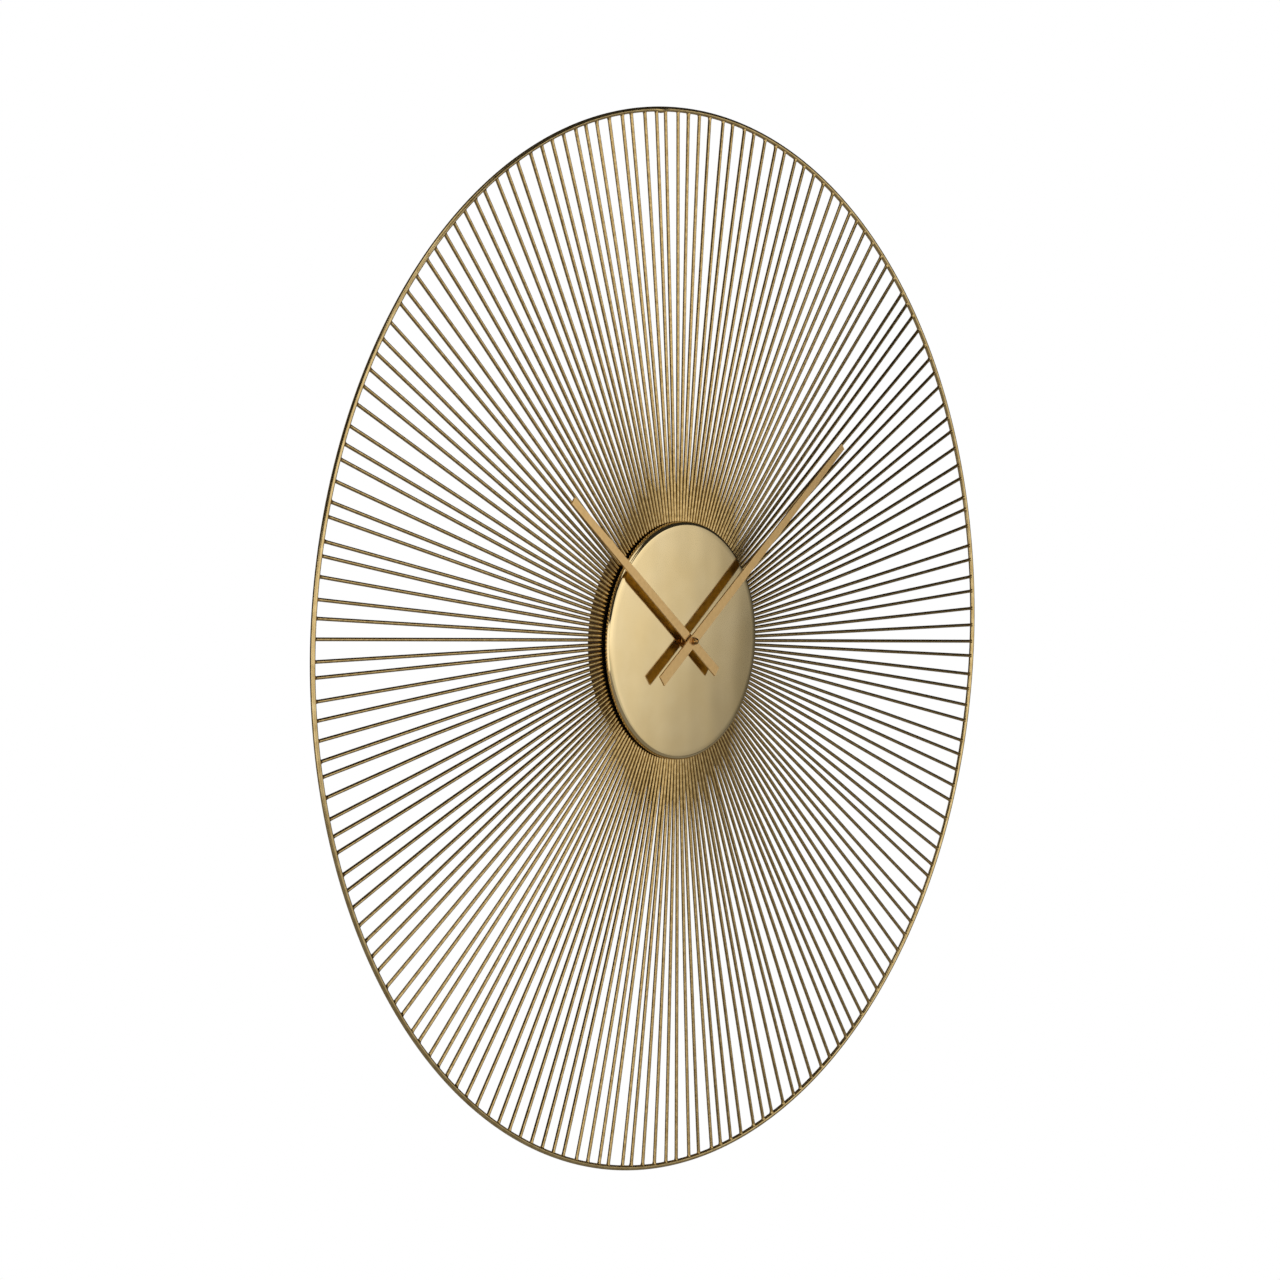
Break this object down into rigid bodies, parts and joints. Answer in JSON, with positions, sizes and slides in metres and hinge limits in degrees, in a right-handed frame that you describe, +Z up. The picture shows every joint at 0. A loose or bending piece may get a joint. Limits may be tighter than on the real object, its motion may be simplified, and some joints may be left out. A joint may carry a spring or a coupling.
{
  "type": "sunburst wall clock",
  "caption": "Round wall clock: a thin wire hoop on straight radiating rods, a smooth metal disc with two flat bar hands, and a slim drum behind that holds a battery movement.",
  "frame": {"origin": "where the hands' axis meets the wall plane, at the middle of the movement's back face", "axes": "+Z up towards twelve o'clock, -Y out of the dial towards the viewer, +Y into the wall, +X towards three o'clock"},
  "size_m": [0.9999, 0.0435, 1],
  "materials": {
    "antique_brass": "aged satin brass plate on steel, slightly mottled",
    "champagne_brass": "satin semi-mirror champagne brass",
    "drum_bronze": "dark bronze lacquer",
    "hand_gold": "satin gold anodised, fine lengthwise grain",
    "collet_brass": "turned brass",
    "nut_bronze": "polished dark bronze",
    "zinc_steel": "zinc-plated",
    "stator_steel": "bare laminated iron",
    "black_plastic": "fine spark-eroded texture",
    "white_plastic": "unfilled acetal",
    "washer_rubber": "smooth",
    "copper_wire": "enamelled copper",
    "board_green": "solder resist",
    "chip_black": "epoxy",
    "battery_jacket": "printed sleeve with a copper-coloured band, no lettering"
  },
  "bodies": {
    "clock": {"back_drum": "drum_bronze", "battery": "battery_jacket", "case_screws": "zinc_steel", "centre_nut": "collet_brass", "centre_spacer": "zinc_steel", "centre_washer": "collet_brass", "chip": "chip_black", "circuit_board": "board_green", "coil_bobbin": "white_plastic", "coil_winding": "copper_wire", "contact_negative": "zinc_steel", "contact_positive": "zinc_steel", "disc_posts": "zinc_steel", "disc_screws": "zinc_steel", "front_disc": "champagne_brass", "hanger_plate": "zinc_steel", "hanger_rivets": "zinc_steel", "inner_ring": "antique_brass", "movement_case": "black_plastic", "movement_cover": "black_plastic", "outer_ring": "antique_brass", "quartz_can": "zinc_steel", "ring_screws": "zinc_steel", "rubber_washer": "washer_rubber", "spokes_01": "antique_brass", "spokes_02": "antique_brass", "spokes_03": "antique_brass", "spokes_04": "antique_brass", "spokes_05": "antique_brass", "spokes_06": "antique_brass", "spokes_07": "antique_brass", "spokes_08": "antique_brass", "spokes_09": "antique_brass", "spokes_10": "antique_brass", "spokes_11": "antique_brass", "spokes_12": "antique_brass", "spokes_13": "antique_brass", "spokes_14": "antique_brass", "stator": "stator_steel", "threaded_bush": "collet_brass", "train_plate": "black_plastic"},
    "minute_shaft": {"centre_arbor": "zinc_steel", "minute_hand": "hand_gold", "minute_hand_collet": "collet_brass", "dome_nut": "nut_bronze"},
    "hour_pipe": {"hour_wheel": "white_plastic", "hour_hand": "hand_gold", "hour_hand_collet": "collet_brass"},
    "motion_work": {"minute_wheel": "white_plastic", "setting_knob": "black_plastic"},
    "rotor_spindle": {"rotor": "white_plastic"},
    "intermediate_spindle": {"intermediate_wheel": "white_plastic"},
    "second_spindle": {"second_wheel": "white_plastic"},
    "third_spindle": {"third_wheel": "white_plastic"},
    "centre_spindle": {"centre_wheel": "white_plastic"}
  },
  "joints": [
    {"name": "minute_turn", "type": "hinge", "parent": "clock", "child": "minute_shaft", "pos_m": [0, 0, 0], "axis": [0, 1, 0], "continuous": true},
    {"name": "hour_turn", "type": "hinge", "parent": "clock", "child": "hour_pipe", "pos_m": [0, 0, 0], "axis": [0, 1, 0], "continuous": true},
    {"name": "motion_turn", "type": "hinge", "parent": "clock", "child": "motion_work", "pos_m": [-0.00636, 0, 0.00636], "axis": [0, 1, 0], "continuous": true},
    {"name": "rotor_turn", "type": "hinge", "parent": "clock", "child": "rotor_spindle", "pos_m": [-0.00544, 0, 0.01648], "axis": [0, 1, 0], "continuous": true},
    {"name": "intermediate_turn", "type": "hinge", "parent": "clock", "child": "intermediate_spindle", "pos_m": [0.00062, 0, 0.01298], "axis": [0, 1, 0], "continuous": true},
    {"name": "second_turn", "type": "hinge", "parent": "clock", "child": "second_spindle", "pos_m": [0.0066, 0, 0.00953], "axis": [0, 1, 0], "continuous": true},
    {"name": "third_turn", "type": "hinge", "parent": "clock", "child": "third_spindle", "pos_m": [0.00778, 0, 0.00283], "axis": [0, 1, 0], "continuous": true},
    {"name": "centre_turn", "type": "hinge", "parent": "clock", "child": "centre_spindle", "pos_m": [0, 0, 0], "axis": [0, 1, 0], "continuous": true}
  ],
  "couplings": [
    {"joint": "hour_turn", "follows": "minute_turn", "ratio": 0.083333},
    {"joint": "motion_turn", "follows": "minute_turn", "ratio": -0.33333},
    {"joint": "intermediate_turn", "follows": "rotor_turn", "ratio": -0.16667},
    {"joint": "second_turn", "follows": "rotor_turn", "ratio": 0.033333},
    {"joint": "third_turn", "follows": "rotor_turn", "ratio": -0.0044444},
    {"joint": "centre_turn", "follows": "rotor_turn", "ratio": 0.00055556}
  ]
}
